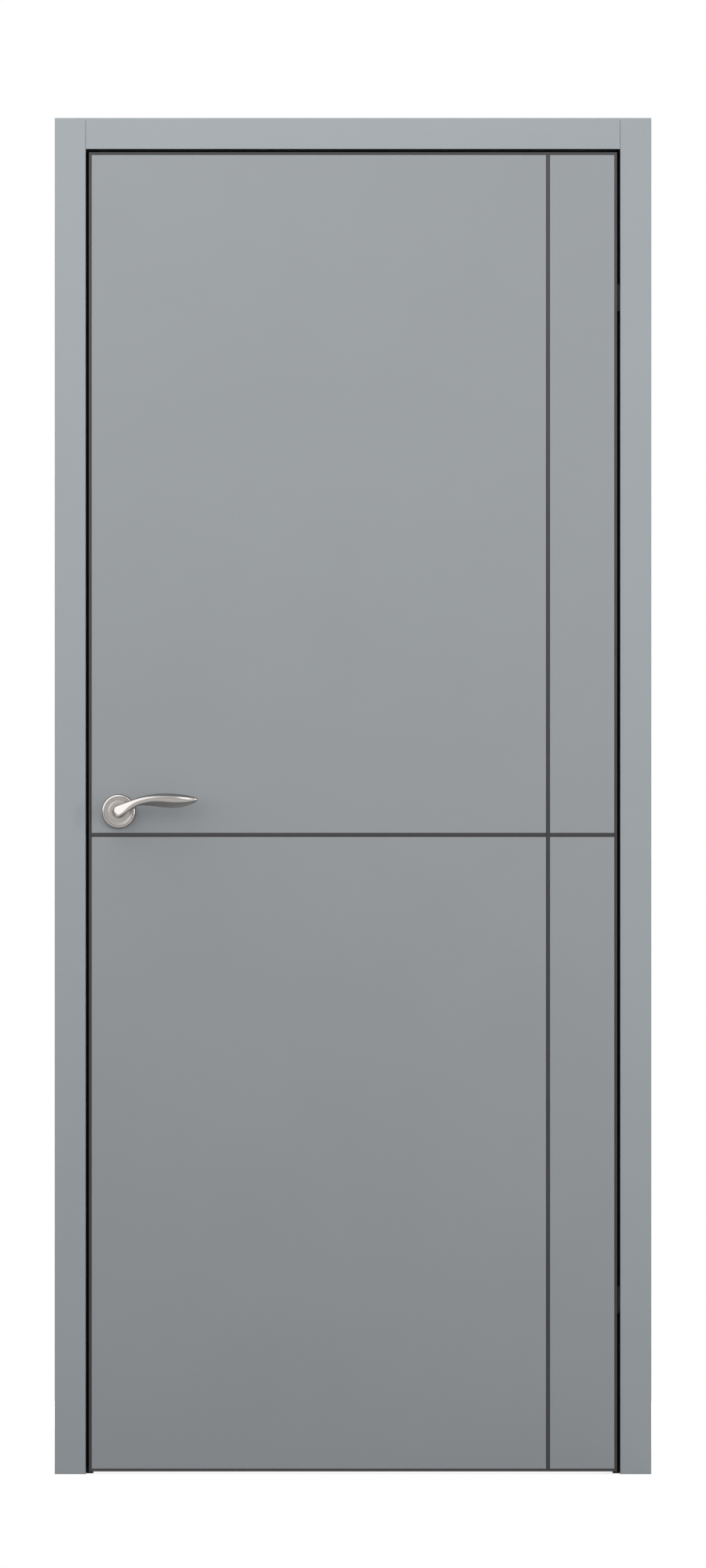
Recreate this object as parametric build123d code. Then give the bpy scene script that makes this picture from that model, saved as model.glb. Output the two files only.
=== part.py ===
"""Interior door in its frame: a flush leaf with inlaid mouldings, concealed hinges and a lever set.

Millimetres. +Z is up, the leaf's front faces -Y and the hinges are on the +X side.
The origin lies on the wall face of the hinge jamb, at floor level, halfway through the wall.
"""

import os
from math import asin, atan2, cos, degrees, hypot, pi, sin

from build123d import *

# Leaf
LEAF_WIDTH = 800.0
LEAF_HEIGHT = 2000.0
LEAF_THICKNESS = 40.0
PANEL_THICKNESS = 6.0
PANEL_RECESS = 1.0  # the panels lie this far behind the lips of the edge profiles
PANEL_EDGE_ROUND = 0.6
EDGE_WEB = 2.0  # thickness of an edge profile over the edge of the core
EDGE_FACE = 4.0  # width of an edge profile seen from the front
EDGE_LIP = 2.6  # the bright lip, the rest of EDGE_FACE is a shadow groove
EDGE_GROOVE_DEPTH = 2.6
EDGE_LIP_ROUND = 0.7

# Inlaid mouldings
MOULDING_WIDTH = 6.0
MOULDING_RIB = 3.2
MOULDING_GROOVE_DEPTH = 1.6
MOULDING_SINK = 0.2  # top of the rib behind the face of the panels
MOULDING_RIB_ROUND = 0.4
UPRIGHT_FROM_HINGE_EDGE = 104.5  # centre of the upright moulding
CROSS_BELOW_SPINDLE = 36.0  # centre of the cross moulding under the lever's spindle

# Frame
SIDE_GAP = 5.0
TOP_GAP = 5.0
FLOOR_GAP = 4.0
WALL_THICKNESS = 100.0
JAMB_THICKNESS = 32.0
STOP_PROJECTION = 11.0
STOP_GAP = 5.0  # back of the leaf to the stop
STOP_ROUND = 1.2  # arris along the stop
SEAL_WIDTH = 10.0
SEAL_CLEARANCE = 0.5  # crown of the seal to the back of the leaf
SEAL_ROUND = 2.0
CASING_WIDTH = 47.0
CASING_THICKNESS = 10.0
CASING_JOINT = 0.3  # hairline between an upright casing and the head casing
CASING_ROUND = 0.8

# Concealed hinges
HINGE_FROM_TOP = 220.0
HINGE_FROM_BOTTOM = 260.0
PIVOT_FORWARD = 3.0  # the virtual pivot in front of the face of the leaf
SWING_LIMIT = 120.0
ARM_INNER_RADIUS = 25.0
ARM_THICKNESS = 4.0
ARM_CLEARANCE = 0.3
ARM_HOLD = 10.0  # degrees of arm that stay in a cup, and between the arms, when wide open
ARM_END_ROOM = 3.0  # degrees of free channel behind an arm with the leaf shut
OUTER_ARM_HEIGHT = 11.0
INNER_ARM_HEIGHT = 18.0
CUP_PLATE_LENGTH = 120.0
CUP_PLATE_WIDTH = 20.0
CUP_PLATE_THICKNESS = 3.0
CUP_PLATE_BACK = 12.0  # front edge of the plate behind the face of the leaf
CUP_BODY_DEPTH = 25.0
CUP_BODY_WIDTH = 18.5
CUP_BODY_HEIGHT = 60.0
CUP_BODY_BACK = 10.8  # front side of the body behind the face of the leaf
CUP_SCREW_DIAMETER = 5.0
CUP_SCREW_SPACING = 92.0
CUP_SCREW_DEPTH = 1.2
POCKET_CLEARANCE = 0.2

# Latch and strike
LATCH_PLATE_WIDTH = 22.0
LATCH_PLATE_HEIGHT = 60.0
LATCH_PLATE_ROUND = 4.0
BOLT_WIDTH = 11.0
BOLT_HEIGHT = 17.0
BOLT_LENGTH = 32.0
BOLT_CLEARANCE = 0.2
STRIKE_WIDTH = 16.0
STRIKE_HEIGHT = 80.0
STRIKE_THICKNESS = 2.0
STRIKE_HOLE_WIDTH = 12.4
STRIKE_HOLE_HEIGHT = 22.0
STRIKE_POCKET_DEPTH = 14.0

# Lever set
BACKSET = 45.0
HANDLE_HEIGHT = 1005.0
ROSE_DIAMETER = 52.5
ROSE_THICKNESS = 9.0
ROSE_EDGE_ROUND = 2.6
ROSE_DISH_DIAMETER = 43.5  # the face inside the rim lies a little lower
ROSE_DISH_DEPTH = 0.4
ROSE_RING_DIAMETER = 34.0
ROSE_RING_WIDTH = 0.9
ROSE_RING_DEPTH = 0.5
NECK_DIAMETER = 18.0
NECK_REACH = 30.0  # the neck bends over from here, off the face of the panel
NECK_CLEARANCE = 0.15
NECK_START = 1.0
SPINDLE_SIZE = 8.0
SPINDLE_SOCKET = 20.0
SPINDLE_CLEARANCE = 0.1
SPINDLE_BORE = 16.0
GRIP_LENGTH = 120.5
GRIP_RISE = 16.0  # the grip runs this far above the spindle
GRIP_REACH = 47.0  # middle of the grip off the face of the panel
GRIP_HALF_HEIGHT = 11.0
GRIP_HALF_DEPTH = 6.4
SWELL_FROM_SPINDLE = 77.0  # where the grip is thickest
WAIST_FROM_SPINDLE = 25.0
WAIST_RISE = 13.9
WAIST_HALF_HEIGHT = 5.8
WAIST_HALF_DEPTH = 5.2
TIP_SET_BACK = 3.0  # the grip curves back to the leaf by this at its tip

# Places that follow from the sizes above
HINGE_REBATE_X = -JAMB_THICKNESS
LEAF_RIGHT = HINGE_REBATE_X - SIDE_GAP
LEAF_LEFT = LEAF_RIGHT - LEAF_WIDTH
LATCH_REBATE_X = LEAF_LEFT - SIDE_GAP
LATCH_WALL_X = LATCH_REBATE_X - JAMB_THICKNESS
LEAF_BOTTOM = FLOOR_GAP
LEAF_TOP = LEAF_BOTTOM + LEAF_HEIGHT
HEAD_REBATE_Z = LEAF_TOP + TOP_GAP
HEAD_WALL_Z = HEAD_REBATE_Z + JAMB_THICKNESS
JAMB_FRONT = -WALL_THICKNESS / 2
JAMB_BACK = WALL_THICKNESS / 2
LEAF_FRONT = JAMB_FRONT - CASING_THICKNESS
LEAF_BACK = LEAF_FRONT + LEAF_THICKNESS
STOP_FRONT = LEAF_BACK + STOP_GAP
PANEL_FRONT = LEAF_FRONT + PANEL_RECESS
PANEL_REAR = LEAF_BACK - PANEL_RECESS
CORE_FRONT = PANEL_FRONT + PANEL_THICKNESS
CORE_BACK = PANEL_REAR - PANEL_THICKNESS
LEAF_MIDDLE = (LEAF_FRONT + LEAF_BACK) / 2
CROSS_HEIGHT = HANDLE_HEIGHT - CROSS_BELOW_SPINDLE
UPRIGHT_X = LEAF_RIGHT - UPRIGHT_FROM_HINGE_EDGE
HANDLE_X = LEAF_LEFT + BACKSET
PIVOT_X = (LEAF_RIGHT + HINGE_REBATE_X) / 2
PIVOT_Y = LEAF_FRONT - PIVOT_FORWARD
HINGE_HEIGHTS = {"upper": LEAF_TOP - HINGE_FROM_TOP, "lower": LEAF_BOTTOM + HINGE_FROM_BOTTOM}

SAME_PLACE = 0.01  # an edge this near to a plane lies on it
PIECES = {}


def block(x, y, z):
    """A box between two values along each axis."""
    size = [abs(pair[1] - pair[0]) for pair in (x, y, z)]
    middle = [(pair[0] + pair[1]) / 2 for pair in (x, y, z)]
    return Pos(*middle) * Box(*size)


def round_plate(width, height, radius, thickness):
    """A plate in the YZ plane with rounded corners, from X = 0 to X = thickness."""
    outline = Plane.YZ * RectangleRounded(width, height, radius)
    return extrude(outline, thickness)


def edges_at(solid, axis, value):
    """Edges that lie wholly on one plane across an axis."""
    return solid.edges().filter_by_position(axis, value - SAME_PLACE, value + SAME_PLACE)


# Frame


def side_jamb(wall_x, rebate_x):
    """One upright jamb with its stop, from the floor to the top of the frame."""
    inward = 1.0 if rebate_x > wall_x else -1.0
    stop_x = rebate_x + inward * STOP_PROJECTION
    board = block((wall_x, rebate_x), (JAMB_FRONT, JAMB_BACK), (0, HEAD_WALL_Z))
    stop = block((rebate_x, stop_x), (STOP_FRONT, JAMB_BACK), (0, HEAD_REBATE_Z - STOP_PROJECTION))
    stop = fillet(edges_at(stop, Axis.X, stop_x).filter_by(Axis.Z), STOP_ROUND)
    return board + stop


def hinge_jamb():
    jamb = side_jamb(0.0, HINGE_REBATE_X)
    for height in HINGE_HEIGHTS.values():
        jamb -= cup_pocket(height, 1.0)
    return jamb


def latch_jamb():
    jamb = side_jamb(LATCH_WALL_X, LATCH_REBATE_X)
    plate_bed = round_plate(STRIKE_WIDTH, STRIKE_HEIGHT, LATCH_PLATE_ROUND, -STRIKE_THICKNESS)
    jamb -= Pos(LATCH_REBATE_X, LEAF_MIDDLE, HANDLE_HEIGHT) * plate_bed
    pocket = Box(STRIKE_POCKET_DEPTH, STRIKE_HOLE_WIDTH, STRIKE_HOLE_HEIGHT)
    pocket_x = LATCH_REBATE_X - STRIKE_THICKNESS - STRIKE_POCKET_DEPTH / 2
    return jamb - Pos(pocket_x, LEAF_MIDDLE, HANDLE_HEIGHT) * pocket


def head_jamb():
    span = (LATCH_REBATE_X, HINGE_REBATE_X)
    board = block(span, (JAMB_FRONT, JAMB_BACK), (HEAD_REBATE_Z, HEAD_WALL_Z))
    stop_z = HEAD_REBATE_Z - STOP_PROJECTION
    stop = block(span, (STOP_FRONT, JAMB_BACK), (stop_z, HEAD_REBATE_Z))
    stop = fillet(edges_at(stop, Axis.Z, stop_z).filter_by(Axis.X), STOP_ROUND)
    return board + stop


def rounded_casing(board, face_y):
    """Rounds the edges round the visible face of a casing board."""
    return fillet(edges_at(board, Axis.Y, face_y), CASING_ROUND)


def casings(side, near_y, face_y):
    """Two uprights and the head board between them on one side of the wall."""
    top = HEAD_REBATE_Z + CASING_WIDTH
    uprights = {
        "hinge": (HINGE_REBATE_X, HINGE_REBATE_X + CASING_WIDTH),
        "latch": (LATCH_REBATE_X - CASING_WIDTH, LATCH_REBATE_X),
    }
    for name, span in uprights.items():
        board = block(span, (near_y, face_y), (0, top))
        PIECES[f"{side}_casing_{name}"] = rounded_casing(board, face_y)
    span = (LATCH_REBATE_X + CASING_JOINT, HINGE_REBATE_X - CASING_JOINT)
    board = block(span, (near_y, face_y), (HEAD_REBATE_Z, top))
    PIECES[f"{side}_casing_head"] = rounded_casing(board, face_y)


def seals():
    """Rubber seals on the stops, with a rounded crown towards the leaf."""
    margin = (STOP_PROJECTION - SEAL_WIDTH) / 2
    crown = LEAF_BACK + SEAL_CLEARANCE
    head_z = HEAD_REBATE_Z - STOP_PROJECTION
    hinge_x = HINGE_REBATE_X - STOP_PROJECTION + margin
    latch_x = LATCH_REBATE_X + margin
    for name, x in (("hinge", hinge_x), ("latch", latch_x)):
        strip = block((x, x + SEAL_WIDTH), (crown, STOP_FRONT), (0, head_z))
        long_edges = edges_at(strip, Axis.Y, crown).filter_by(Axis.Z)
        PIECES[f"seal_{name}"] = fillet(long_edges, SEAL_ROUND)
    span = (LATCH_REBATE_X + margin, HINGE_REBATE_X - margin)
    strip = block(span, (crown, STOP_FRONT), (head_z + margin, head_z + margin + SEAL_WIDTH))
    PIECES["seal_head"] = fillet(edges_at(strip, Axis.Y, crown).filter_by(Axis.X), SEAL_ROUND)


def strike_plate():
    plate = round_plate(STRIKE_WIDTH, STRIKE_HEIGHT, LATCH_PLATE_ROUND, -STRIKE_THICKNESS)
    hole = Box(3 * STRIKE_THICKNESS, STRIKE_HOLE_WIDTH, STRIKE_HOLE_HEIGHT)
    return Pos(LATCH_REBATE_X, LEAF_MIDDLE, HANDLE_HEIGHT) * (plate - hole)


# Concealed hinges


def hinge_place(height):
    """The virtual pivot at the height of one hinge."""
    return Pos(PIVOT_X, PIVOT_Y, height)


def cup_shape(grow):
    """Plate and body of a cup on the +X side of the pivot, larger all round by grow."""
    mouth = SIDE_GAP / 2
    plate_middle = PIVOT_FORWARD + CUP_PLATE_BACK + CUP_PLATE_WIDTH / 2
    width = CUP_PLATE_WIDTH + 2 * grow
    plate = round_plate(width, CUP_PLATE_LENGTH + 2 * grow, 0.499 * width, CUP_PLATE_THICKNESS)
    body_start = PIVOT_FORWARD + CUP_BODY_BACK
    body = block(
        (mouth, mouth + CUP_BODY_DEPTH + grow),
        (body_start - grow, body_start + CUP_BODY_WIDTH + grow),
        (-CUP_BODY_HEIGHT / 2 - grow, CUP_BODY_HEIGHT / 2 + grow),
    )
    behind_plate = block(
        (mouth + CUP_PLATE_THICKNESS - grow, mouth + CUP_BODY_DEPTH + 2 * grow),
        (0, 2 * PIVOT_FORWARD + CUP_PLATE_BACK + 2 * CUP_PLATE_WIDTH),
        (-CUP_BODY_HEIGHT, CUP_BODY_HEIGHT),
    )
    return Pos(mouth, plate_middle, 0) * plate + (body & behind_plate)


def turned(solid, side):
    """Leaves a piece on the jamb side, or mirrors it about the pivot to the leaf side."""
    return solid if side > 0 else mirror(solid, about=Plane.YZ)


def cup_pocket(height, side):
    return hinge_place(height) * turned(cup_shape(POCKET_CLEARANCE), side)


def arm(start, end, low, high):
    """A bar curved about the virtual pivot, from one angle to another."""
    outer = ARM_INNER_RADIUS + ARM_THICKNESS
    return curved_bar(ARM_INNER_RADIUS, outer, start, end, low, high)


def curved_bar(inner, outer, start, end, low, high):
    """The space between two radii, two angles and two heights about the pivot."""
    far = CenterArc((0, 0), outer, start, end - start)
    near = CenterArc((0, 0), inner, start, end - start)
    sides = [Line(near @ share, far @ share) for share in (0, 1)]
    return Pos(0, 0, low) * extrude(make_face([far, near, *sides]), high - low)


def arm_angles():
    """Start and end of an outer arm with the leaf shut, in degrees from +X about the pivot."""
    step = SWING_LIMIT / 3
    mouth = 90 - degrees(asin(SIDE_GAP / 2 / ARM_INNER_RADIUS))
    start = mouth - ARM_HOLD - step
    end = 90 + (step + ARM_HOLD) / 2
    return start, end


def arm_levels():
    """Heights of the lower outer arm, the inner arm and the upper outer arm."""
    inner = INNER_ARM_HEIGHT / 2
    outer_low = inner + ARM_CLEARANCE
    outer_high = outer_low + OUTER_ARM_HEIGHT
    return (-outer_high, -outer_low), (-inner, inner), (outer_low, outer_high)


def hinge_cup(height, side):
    """One cup with the curved channel the arms slide in and two screw heads' sinkings."""
    start = arm_angles()[0] - ARM_END_ROOM
    top = arm_levels()[2][1] + ARM_CLEARANCE
    channel = curved_bar(
        ARM_INNER_RADIUS - ARM_CLEARANCE,
        ARM_INNER_RADIUS + ARM_THICKNESS + ARM_CLEARANCE,
        start,
        90 + ARM_HOLD,
        -top,
        top,
    )
    cup = cup_shape(0.0) - channel
    plate_middle = PIVOT_FORWARD + CUP_PLATE_BACK + CUP_PLATE_WIDTH / 2
    for height_sign in (-1, 1):
        sinking = Rot(0, 90, 0) * Cylinder(CUP_SCREW_DIAMETER / 2, 2 * CUP_SCREW_DEPTH)
        cup -= Pos(SIDE_GAP / 2, plate_middle, height_sign * CUP_SCREW_SPACING / 2) * sinking
    return hinge_place(height) * turned(cup, side)


def hinge_arms(height):
    """Two outer arms that stay nearer the jamb and an inner arm that stays nearer the leaf."""
    start, end = arm_angles()
    lower, middle, upper = arm_levels()
    place = hinge_place(height)
    outer = [place * arm(start, end, *lower), place * arm(start, end, *upper)]
    inner = place * arm(180 - end, 180 - start, *middle)
    return Compound(children=outer), inner


# Leaf


def leaf_core():
    core = block(
        (LEAF_LEFT + EDGE_WEB, LEAF_RIGHT - EDGE_WEB),
        (CORE_FRONT, CORE_BACK),
        (LEAF_BOTTOM + EDGE_WEB, LEAF_TOP - EDGE_WEB),
    )
    core -= spindle_bore()
    core -= bolt_space()
    for height in HINGE_HEIGHTS.values():
        core -= cup_pocket(height, -1.0)
    return core


def spindle_bore():
    bore = Rot(90, 0, 0) * Cylinder(SPINDLE_BORE / 2, 2 * LEAF_THICKNESS)
    return Pos(HANDLE_X, LEAF_MIDDLE, HANDLE_HEIGHT) * bore


def bolt_space():
    return block(
        (LEAF_LEFT - EDGE_WEB, LEAF_LEFT + BOLT_LENGTH),
        (LEAF_MIDDLE - BOLT_WIDTH / 2 - BOLT_CLEARANCE, LEAF_MIDDLE + BOLT_WIDTH / 2 + BOLT_CLEARANCE),
        (HANDLE_HEIGHT - BOLT_HEIGHT / 2 - BOLT_CLEARANCE, HANDLE_HEIGHT + BOLT_HEIGHT / 2 + BOLT_CLEARANCE),
    )


def face_panels(side, near_y, face_y):
    """Four panels on one side of the core, parted by the mouldings."""
    half = MOULDING_WIDTH / 2
    columns = {
        "wide": (LEAF_LEFT + EDGE_FACE, UPRIGHT_X - half),
        "narrow": (UPRIGHT_X + half, LEAF_RIGHT - EDGE_FACE),
    }
    rows = {
        "upper": (CROSS_HEIGHT + half, LEAF_TOP - EDGE_FACE),
        "lower": (LEAF_BOTTOM + EDGE_FACE, CROSS_HEIGHT - half),
    }
    for row, z in rows.items():
        for column, x in columns.items():
            panel = block(x, (near_y, face_y), z)
            panel = fillet(edges_at(panel, Axis.Y, face_y), PANEL_EDGE_ROUND)
            PIECES[f"{side}_panel_{row}_{column}"] = panel - spindle_bore()


def moulding_section():
    """Section of an inlay: X across, Y out of the leaf, with Y = 0 on the core."""
    base = MOULDING_WIDTH / 2
    rib = MOULDING_RIB / 2
    top = PANEL_THICKNESS - MOULDING_SINK
    floor = top - MOULDING_GROOVE_DEPTH
    corners = [(-base, 0), (base, 0), (base, floor), (rib, floor), (rib, top)]
    corners += [(-rib, top), (-rib, floor), (-base, floor)]
    section = make_face(Polyline(*corners, close=True))
    crown = section.vertices().sort_by(Axis.Y)[-2:]
    return fillet(crown, MOULDING_RIB_ROUND)


def inlay(start, end, out):
    """A length of moulding from start to end, which stand on the face of the core."""
    along = (end - start).normalized()
    across = along.cross(out)
    plane = Plane(origin=start, x_dir=across, z_dir=along)
    if plane.y_dir.dot(out) < 0:
        plane = Plane(origin=start, x_dir=across * -1, z_dir=along)
    return extrude(plane * moulding_section(), (end - start).length)


def mouldings(side, core_y, out_y):
    """The upright inlay, and the cross inlay in two lengths that butt against it."""
    out = Vector(0, out_y, 0)
    half = MOULDING_WIDTH / 2
    low, high = LEAF_BOTTOM + EDGE_FACE, LEAF_TOP - EDGE_FACE
    PIECES[f"{side}_moulding_upright"] = inlay(
        Vector(UPRIGHT_X, core_y, low), Vector(UPRIGHT_X, core_y, high), out
    )
    lengths = [
        (LEAF_LEFT + EDGE_FACE, UPRIGHT_X - half),
        (UPRIGHT_X + half, LEAF_RIGHT - EDGE_FACE),
    ]
    pieces = []
    for x in lengths:
        start = Vector(x[0], core_y, CROSS_HEIGHT)
        pieces.append(inlay(start, Vector(x[1], core_y, CROSS_HEIGHT), out))
    PIECES[f"{side}_moulding_cross"] = Compound(children=pieces)


def edge_section():
    """Section of an edge profile: X in from the edge of the leaf, Y from its front to its back."""
    leg = PANEL_RECESS + PANEL_THICKNESS
    back = LEAF_THICKNESS
    whole = Pos(EDGE_FACE / 2, back / 2) * Rectangle(EDGE_FACE, back)
    core_space = Pos((EDGE_WEB + EDGE_FACE) / 2, back / 2)
    whole -= core_space * Rectangle(EDGE_FACE - EDGE_WEB, back - 2 * leg)
    groove = Rectangle(EDGE_FACE - EDGE_LIP, EDGE_GROOVE_DEPTH)
    for y in (EDGE_GROOVE_DEPTH / 2, back - EDGE_GROOVE_DEPTH / 2):
        whole -= Pos((EDGE_LIP + EDGE_FACE) / 2, y) * groove
    lip_corners = whole.vertices().sort_by(Axis.Y)
    lip_corners = lip_corners[:2] + lip_corners[-2:]
    return fillet(lip_corners, EDGE_LIP_ROUND)


def edge_profile(corner, along, inward, length):
    """One mitred edge profile that starts at a corner of the leaf."""
    plane = Plane(origin=corner, x_dir=inward, z_dir=along)
    depth = Vector(0, 1, 0)
    section = edge_section()
    if plane.y_dir.dot(depth) < 0:
        plane = Plane(origin=corner + depth * LEAF_THICKNESS, x_dir=inward, z_dir=along)
    bar = extrude(plane * section, length)
    reach = 2 * EDGE_FACE
    outline = [
        corner,
        corner + along * length,
        corner + along * (length - reach) + inward * reach,
        corner + along * reach + inward * reach,
    ]
    face = make_face(Polyline(*outline, close=True))
    return bar & extrude(face, LEAF_THICKNESS, dir=depth)


def edge_profiles():
    """Four mitred profiles round the leaf, cut where the latch and the hinges come through."""
    left_foot = Vector(LEAF_LEFT, LEAF_FRONT, LEAF_BOTTOM)
    right_foot = Vector(LEAF_RIGHT, LEAF_FRONT, LEAF_BOTTOM)
    left_top = Vector(LEAF_LEFT, LEAF_FRONT, LEAF_TOP)
    x_dir, z_dir = Vector(1, 0, 0), Vector(0, 0, 1)
    latch = edge_profile(left_foot, z_dir, x_dir, LEAF_HEIGHT)
    plate = round_plate(LATCH_PLATE_WIDTH, LATCH_PLATE_HEIGHT, LATCH_PLATE_ROUND, EDGE_WEB)
    PIECES["edge_profile_latch"] = latch - Pos(LEAF_LEFT, LEAF_MIDDLE, HANDLE_HEIGHT) * plate
    hinge = edge_profile(right_foot, z_dir, x_dir * -1, LEAF_HEIGHT)
    for height in HINGE_HEIGHTS.values():
        hinge -= cup_pocket(height, -1.0)
    PIECES["edge_profile_hinge"] = hinge
    PIECES["edge_profile_bottom"] = edge_profile(left_foot, x_dir, z_dir, LEAF_WIDTH)
    PIECES["edge_profile_top"] = edge_profile(left_top, x_dir, z_dir * -1, LEAF_WIDTH)


def latch():
    """The plate in the edge of the leaf and the flush magnetic bolt in it."""
    plate = round_plate(LATCH_PLATE_WIDTH, LATCH_PLATE_HEIGHT, LATCH_PLATE_ROUND, EDGE_WEB)
    plate = Pos(LEAF_LEFT, LEAF_MIDDLE, HANDLE_HEIGHT) * plate
    PIECES["latch_plate"] = plate - bolt_space()
    PIECES["latch_bolt"] = block(
        (LEAF_LEFT, LEAF_LEFT + BOLT_LENGTH),
        (LEAF_MIDDLE - BOLT_WIDTH / 2, LEAF_MIDDLE + BOLT_WIDTH / 2),
        (HANDLE_HEIGHT - BOLT_HEIGHT / 2, HANDLE_HEIGHT + BOLT_HEIGHT / 2),
    )


# Lever set, drawn with Z out of the leaf and Y up, then set on either face


def on_face(solid, out):
    """Sets a piece of the lever set on the front face, or mirrors it to the back face."""
    front = Pos(HANDLE_X, PANEL_FRONT, HANDLE_HEIGHT) * (Rot(90, 0, 0) * solid)
    if out < 0:
        return front
    return mirror(front, about=Plane(origin=(0, LEAF_MIDDLE, 0), z_dir=(0, 1, 0)))


def rose():
    """A round rose with a rounded rim, a fine ring and a bore for the lever's neck."""
    disc = Pos(0, 0, ROSE_THICKNESS / 2) * Cylinder(ROSE_DIAMETER / 2, ROSE_THICKNESS)
    rim = disc.edges().group_by(Axis.Z)[-1]
    disc = fillet(rim, ROSE_EDGE_ROUND)
    disc -= Pos(0, 0, ROSE_THICKNESS) * Cylinder(ROSE_DISH_DIAMETER / 2, 2 * ROSE_DISH_DEPTH)
    ring = Cylinder(ROSE_RING_DIAMETER / 2, 2 * ROSE_RING_DEPTH)
    ring -= Cylinder(ROSE_RING_DIAMETER / 2 - ROSE_RING_WIDTH, 2 * ROSE_RING_DEPTH)
    disc -= Pos(0, 0, ROSE_THICKNESS - ROSE_DISH_DEPTH) * ring
    return disc - Cylinder(NECK_DIAMETER / 2 + NECK_CLEARANCE, 3 * ROSE_THICKNESS)


def bend_stations():
    """Sections from the neck round to the waist, on a quarter of an ellipse."""
    radius = NECK_DIAMETER / 2
    reach = hypot(WAIST_FROM_SPINDLE, WAIST_RISE)
    rise = GRIP_REACH - NECK_REACH
    heading = atan2(WAIST_RISE, WAIST_FROM_SPINDLE)
    stations = []
    for share in (0.0, 0.2, 0.4, 0.6, 0.8):
        turn = share * pi / 2
        gone = reach * (1 - cos(turn))
        lean = atan2(reach * sin(turn), rise * cos(turn))
        stay = cos(turn) ** 2
        half_height = WAIST_HALF_HEIGHT + (radius - WAIST_HALF_HEIGHT) * stay
        half_depth = WAIST_HALF_DEPTH + (radius - WAIST_HALF_DEPTH) * stay
        x, y = gone * cos(heading), gone * sin(heading)
        stations.append((x, y, NECK_REACH + rise * sin(turn), heading, lean, half_height, half_depth))
    return stations


def grip_stations():
    """Sections from the waist to the tip, with the grip level."""
    level = pi / 2
    heading = atan2(WAIST_RISE, WAIST_FROM_SPINDLE) / 2
    waist = (WAIST_FROM_SPINDLE, WAIST_RISE, GRIP_REACH, heading, level, WAIST_HALF_HEIGHT, WAIST_HALF_DEPTH)
    before = (SWELL_FROM_SPINDLE + WAIST_FROM_SPINDLE) / 2
    after = GRIP_LENGTH - SWELL_FROM_SPINDLE
    full = (GRIP_HALF_HEIGHT, GRIP_HALF_DEPTH)
    stations = [waist]
    # Place along the grip, rise over its line, and share of its full height and depth there
    shape = [
        (before, 0.8, 0.82, 0.94),
        (SWELL_FROM_SPINDLE, 0.0, 1.0, 1.0),
        (SWELL_FROM_SPINDLE + 0.38 * after, -0.3, 0.93, 0.96),
        (SWELL_FROM_SPINDLE + 0.68 * after, 0.0, 0.70, 0.80),
        (SWELL_FROM_SPINDLE + 0.88 * after, 0.8, 0.42, 0.54),
        (SWELL_FROM_SPINDLE + 0.97 * after, 1.4, 0.20, 0.28),
        (GRIP_LENGTH, 1.7, 0.06, 0.09),
    ]
    for x, lift, tall, deep in shape:
        back = TIP_SET_BACK * max(0.0, (x - SWELL_FROM_SPINDLE) / after) ** 2
        place = (x, GRIP_RISE + lift, GRIP_REACH - back)
        stations.append((*place, 0.0, level, tall * full[0], deep * full[1]))
    return stations


def lever():
    """A lever: its neck stands out of the rose, bends over into a waist, and the grip swells.

    X runs towards the hinges, Y up and Z out of the leaf.
    """
    sections = []
    for x, y, z, heading, lean, half_height, half_depth in bend_stations() + grip_stations():
        level = Vector(cos(heading), sin(heading), 0)
        way = level * sin(lean) + Vector(0, 0, 1) * cos(lean)
        plane = Plane(origin=(x, y, z), x_dir=(-sin(heading), cos(heading), 0), z_dir=way)
        sections.append(plane * Ellipse(half_height, half_depth))
    neck = Pos(0, 0, (NECK_START + NECK_REACH) / 2) * Cylinder(NECK_DIAMETER / 2, NECK_REACH - NECK_START)
    whole = neck + loft(sections)
    half = SPINDLE_SIZE / 2 + SPINDLE_CLEARANCE
    return whole - block((-half, half), (-half, half), (0, NECK_START + SPINDLE_SOCKET))


def spindle():
    half = SPINDLE_SIZE / 2
    return block(
        (HANDLE_X - half, HANDLE_X + half),
        (PANEL_FRONT - NECK_START - SPINDLE_SOCKET, PANEL_REAR + NECK_START + SPINDLE_SOCKET),
        (HANDLE_HEIGHT - half, HANDLE_HEIGHT + half),
    )


def build_frame():
    PIECES["hinge_jamb"] = hinge_jamb()
    PIECES["latch_jamb"] = latch_jamb()
    PIECES["head_jamb"] = head_jamb()
    casings("front", JAMB_FRONT, LEAF_FRONT)
    casings("back", JAMB_BACK, JAMB_BACK + CASING_THICKNESS)
    seals()
    PIECES["strike_plate"] = strike_plate()


def build_hinges():
    for name, height in HINGE_HEIGHTS.items():
        PIECES[f"{name}_hinge_jamb_cup"] = hinge_cup(height, 1.0)
        PIECES[f"{name}_hinge_leaf_cup"] = hinge_cup(height, -1.0)
        outer, inner = hinge_arms(height)
        PIECES[f"{name}_hinge_outer_arms"] = outer
        PIECES[f"{name}_hinge_inner_arm"] = inner


def build_leaf():
    PIECES["leaf_core"] = leaf_core()
    face_panels("front", CORE_FRONT, PANEL_FRONT)
    face_panels("back", CORE_BACK, PANEL_REAR)
    mouldings("front", CORE_FRONT, -1.0)
    mouldings("back", CORE_BACK, 1.0)
    edge_profiles()
    latch()


def build_lever_set():
    for name, out in (("front", -1.0), ("back", 1.0)):
        PIECES[f"{name}_rose"] = on_face(rose(), out)
        PIECES[f"{name}_lever"] = on_face(lever(), out)
    PIECES["spindle"] = spindle()


build_frame()
build_hinges()
build_leaf()
build_lever_set()
os.makedirs("parts", exist_ok=True)
for name, piece in PIECES.items():
    export_step(piece, f"parts/{name}.step")
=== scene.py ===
"""Dresses a flush interior door: its finishes, lever set, fastenings and a pale studio.

Metres. +Z is up, the leaf's front faces -Y and the hinges are on the +X side.
"""

import math
from typing import NamedTuple

import bmesh
import bpy
from mathutils import Matrix, Vector


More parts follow.
